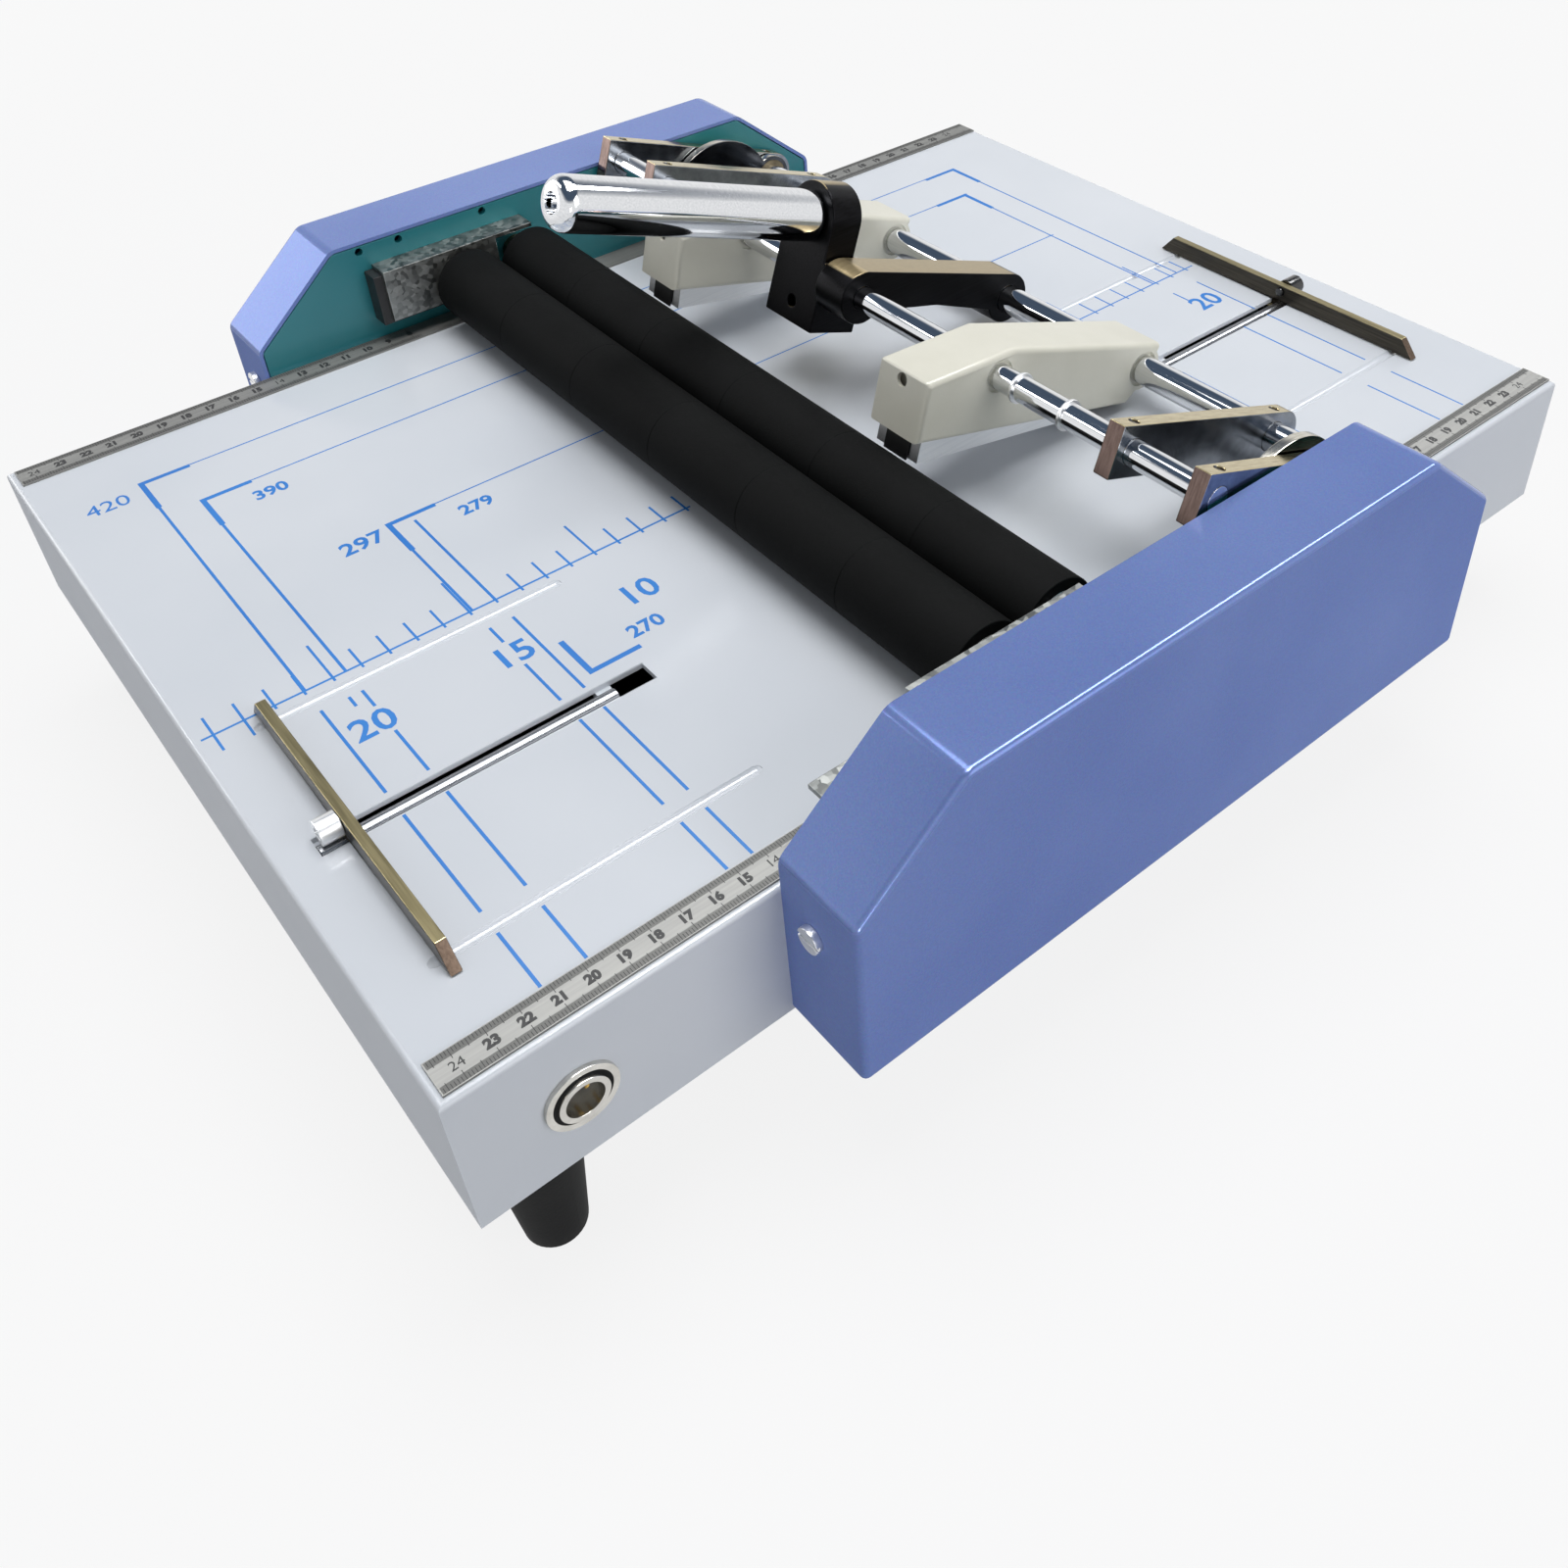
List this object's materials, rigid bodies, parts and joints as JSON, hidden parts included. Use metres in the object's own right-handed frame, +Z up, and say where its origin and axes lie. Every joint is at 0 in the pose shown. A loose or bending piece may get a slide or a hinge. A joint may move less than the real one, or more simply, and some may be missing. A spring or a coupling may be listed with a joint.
{
  "type": "booklet maker",
  "caption": "Table-top booklet maker: paper table with hand-lever staplers on a hinged press, fold rollers with a rising knife, and sliding fences between side hoods.",
  "frame": {"origin": "on the floor, under the middle of the table", "axes": "+X along the paper path towards the rear fence, +Y to the far side, +Z up"},
  "size_m": [0.505, 0.436, 0.228],
  "materials": {
    "deck_paint": "gloss",
    "galvanised": "satin",
    "black_rubber": "matte",
    "plate_teal": "satin",
    "hood_blue": "gloss",
    "bright_screw": "polished",
    "black_plastic": "matte",
    "bronze_bush": "satin",
    "ruler_steel": "satin",
    "bright_steel": "satin",
    "socket_chrome": "satin",
    "gold_pin": "polished",
    "black_gloss": "gloss",
    "board_green": "satin",
    "motor_steel": "satin",
    "bracket_alloy": "satin",
    "cheek_steel": "polished",
    "spring_steel": "satin",
    "roller_rubber": "matte",
    "gear_nylon": "satin",
    "rod_chrome": "polished",
    "arm_steel": "polished",
    "dark_screw": "satin",
    "lever_black": "satin",
    "stapler_cream": "satin",
    "fence_bronze": "satin"
  },
  "bodies": {
    "chassis": {"table_chassis": "deck_paint", "base_plate": "galvanised", "rubber_feet": "black_rubber", "near_side_plate": "plate_teal", "far_side_plate": "plate_teal", "near_hood": "hood_blue", "far_hood": "hood_blue", "hood_screws": "bright_screw", "roller_brackets": "galvanised", "guide_blocks": "black_plastic", "roller_bushes": "bronze_bush", "rulers": "ruler_steel", "staple_anvils": "bright_steel", "socket_gasket": "black_rubber", "socket_shell": "socket_chrome", "socket_insert": "black_plastic", "socket_pins": "gold_pin", "mains_inlet": "black_plastic", "control_board": "board_green", "roller_gearmotor": "motor_steel", "knife_gearmotor": "motor_steel", "knife_posts": "bright_steel", "shaft_blocks": "bracket_alloy", "guide_rods": "bright_steel", "pivot_cheeks": "cheek_steel", "pivot_bushes": "bronze_bush", "return_springs": "spring_steel"},
    "press_frame": {"rear_rod": "rod_chrome", "front_rod": "rod_chrome", "inner_arms": "arm_steel", "outer_arms": "arm_steel", "arm_screws": "dark_screw", "rod_rings": "bright_screw", "spring_collars": "bright_steel", "lever_arm": "lever_black", "lever_block": "lever_black", "grip_tube": "rod_chrome", "grip_bolt": "dark_screw", "near_stapler_case": "stapler_cream", "far_stapler_case": "stapler_cream"},
    "near_magazine": {"near_magazine": "bright_steel", "near_nose": "black_plastic"},
    "far_magazine": {"far_magazine": "bright_steel", "far_nose": "black_plastic"},
    "rear_roller": {"rear_roller_core": "bright_steel", "rear_roller_rubber": "roller_rubber", "rear_roller_gears": "gear_nylon"},
    "front_roller": {"front_roller_core": "bright_steel", "front_roller_rubber": "roller_rubber", "front_roller_gear": "gear_nylon"},
    "drive_pinion": {"drive_pinion": "bronze_bush"},
    "fold_knife": {"knife_blade": "bright_steel", "knife_carrier": "bracket_alloy"},
    "lift_shaft": {"knife_shaft": "bright_steel", "knife_pinions": "bronze_bush"},
    "front_fence": {"front_fence": "fence_bronze"},
    "front_fence_screw": {"front_fence_screw": "bright_screw"},
    "rear_fence": {"rear_fence": "fence_bronze"},
    "rear_fence_knob": {"rear_fence_knob": "black_gloss"},
    "power_rocker": {"power_rocker": "black_gloss"}
  },
  "joints": [
    {"name": "press_hinge", "type": "hinge", "parent": "chassis", "child": "press_frame", "pos_m": [0.1145, 0, 0.125], "axis": [0, -1, 0], "range_deg": [0, 14.2], "stiffness_Nm_per_rad": 3, "springref_deg": -40.11, "deforming": ["return_springs"]},
    {"name": "near_magazine_hinge", "type": "hinge", "parent": "press_frame", "child": "near_magazine", "pos_m": [0.1145, 0, 0.125], "axis": [0, 1, 0], "range_deg": [0, 4]},
    {"name": "far_magazine_hinge", "type": "hinge", "parent": "press_frame", "child": "far_magazine", "pos_m": [0.1145, 0, 0.125], "axis": [0, 1, 0], "range_deg": [0, 4]},
    {"name": "rear_roller_spin", "type": "hinge", "parent": "chassis", "child": "rear_roller", "pos_m": [-0.02225, 0, 0.1274], "axis": [0, 1, 0], "continuous": true},
    {"name": "front_roller_spin", "type": "hinge", "parent": "chassis", "child": "front_roller", "pos_m": [-0.05375, 0, 0.1274], "axis": [0, 1, 0], "continuous": true},
    {"name": "pinion_spin", "type": "hinge", "parent": "chassis", "child": "drive_pinion", "pos_m": [-0.00425, 0, 0.09622], "axis": [0, 1, 0], "continuous": true},
    {"name": "knife_slide", "type": "slide", "parent": "chassis", "child": "fold_knife", "axis": [0, 0, 1], "range_m": [0, 0.0155]},
    {"name": "lift_shaft_spin", "type": "hinge", "parent": "chassis", "child": "lift_shaft", "pos_m": [-0.057, 0, 0.077], "axis": [0, -1, 0], "range_deg": [0, 74.1]},
    {"name": "front_fence_slide", "type": "slide", "parent": "chassis", "child": "front_fence", "axis": [1, 0, 0], "range_m": [0, 0.082]},
    {"name": "front_fence_screw_turn", "type": "hinge", "parent": "front_fence", "child": "front_fence_screw", "pos_m": [-0.2315, -0.082, 0.114], "axis": [1, 0, 0], "continuous": true},
    {"name": "rear_fence_slide", "type": "slide", "parent": "chassis", "child": "rear_fence", "axis": [-1, 0, 0], "range_m": [0, 0.069]},
    {"name": "rear_fence_knob_turn", "type": "hinge", "parent": "rear_fence", "child": "rear_fence_knob", "pos_m": [0.2305, -0.0645, 0.114], "axis": [1, 0, 0], "continuous": true},
    {"name": "power_rocker_tilt", "type": "hinge", "parent": "chassis", "child": "power_rocker", "pos_m": [0.214, 0.1775, 0.08], "axis": [1, 0, 0], "range_deg": [0, 14]}
  ],
  "couplings": [
    {"joint": "near_magazine_hinge", "follows": "press_hinge", "ratio": 0.2816},
    {"joint": "far_magazine_hinge", "follows": "press_hinge", "ratio": 0.2816},
    {"joint": "front_roller_spin", "follows": "rear_roller_spin", "ratio": -1},
    {"joint": "pinion_spin", "follows": "rear_roller_spin", "ratio": -1.4},
    {"joint": "lift_shaft_spin", "follows": "knife_slide", "rad_per_m": 83.333}
  ]
}
